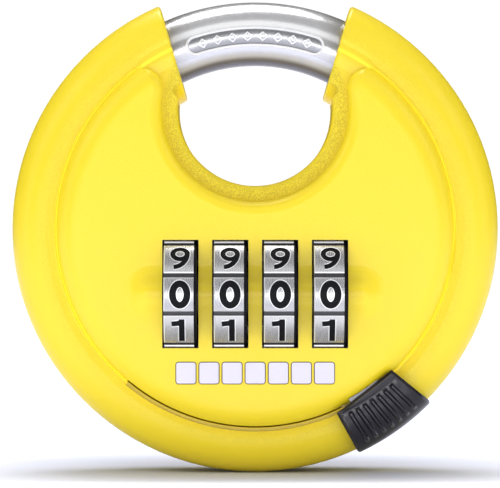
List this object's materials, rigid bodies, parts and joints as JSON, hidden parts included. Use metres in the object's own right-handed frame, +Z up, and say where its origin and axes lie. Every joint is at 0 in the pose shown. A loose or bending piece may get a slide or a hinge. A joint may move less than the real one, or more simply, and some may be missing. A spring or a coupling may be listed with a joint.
{
  "type": "disc padlock",
  "caption": "Round disc padlock with a shielded bar shackle in a hasp notch, combination dials on the face and a thumb knob that swings the bar open.",
  "frame": {"origin": "on the floor under the middle of the lock as it stands on its rim, dial face to -Y; the disc's axis runs along Y at z = 38 mm", "axes": "+Z up through the shackle, +X to the right seen from the dial side, -Y out of the dial face"},
  "size_m": [0.076, 0.025, 0.0736],
  "materials": {
    "yellow_coat": "semi-gloss powder coat over die-cast zinc",
    "bar_steel": "polished, plated steel",
    "knob_plastic": "satin black moulded plastic",
    "dial_steel": "satin plated dial with black numbers",
    "inner_steel": "plain turned or pressed steel",
    "brass": "turned brass",
    "cradle_zinc": "bare die-cast zinc",
    "rivet_steel": "zinc-plated rivet",
    "inlay_silver": "pale satin metal"
  },
  "bodies": {
    "housing": {"front_shell": "yellow_coat", "rear_shell": "yellow_coat", "case_rivets": "rivet_steel", "face_inlay": "inlay_silver", "wheel_cradle": "cradle_zinc", "click_spring": "inner_steel", "spring_rivets": "inner_steel", "cradle_screws": "inner_steel", "spindle_spring": "inner_steel"},
    "bar": {"shackle": "bar_steel", "knob_stem": "inner_steel", "stem_pins": "inner_steel", "release_knob": "knob_plastic"},
    "spindle": {"spindle": "inner_steel", "lock_bolt": "inner_steel", "bolt_pin": "inner_steel"},
    "dial_1": {"number_dial_1": "dial_steel", "code_ring_1": "brass"},
    "dial_2": {"number_dial_2": "dial_steel", "code_ring_2": "brass"},
    "dial_3": {"number_dial_3": "dial_steel", "code_ring_3": "brass"},
    "dial_4": {"number_dial_4": "dial_steel", "code_ring_4": "brass"}
  },
  "joints": [
    {"name": "shackle_swing", "type": "hinge", "parent": "housing", "child": "bar", "pos_m": [0, 0.0022, 0.038], "axis": [0, 1, 0], "range_deg": [0, 68]},
    {"name": "spindle_slide", "type": "slide", "parent": "housing", "child": "spindle", "axis": [-1, 0, 0], "range_m": [0, 0.0026], "deforming": ["spindle_spring"]},
    {"name": "dial_1_turn", "type": "hinge", "parent": "housing", "child": "dial_1", "pos_m": [-0.0115, -0.0029, 0.02795], "axis": [1, 0, 0], "continuous": true},
    {"name": "dial_2_turn", "type": "hinge", "parent": "housing", "child": "dial_2", "pos_m": [-0.00383, -0.0029, 0.02795], "axis": [1, 0, 0], "continuous": true},
    {"name": "dial_3_turn", "type": "hinge", "parent": "housing", "child": "dial_3", "pos_m": [0.00383, -0.0029, 0.02795], "axis": [1, 0, 0], "continuous": true},
    {"name": "dial_4_turn", "type": "hinge", "parent": "housing", "child": "dial_4", "pos_m": [0.0115, -0.0029, 0.02795], "axis": [1, 0, 0], "continuous": true}
  ],
  "couplings": [
    {"joint": "spindle_slide", "follows": "shackle_swing", "m_per_rad": 0.002106}
  ]
}
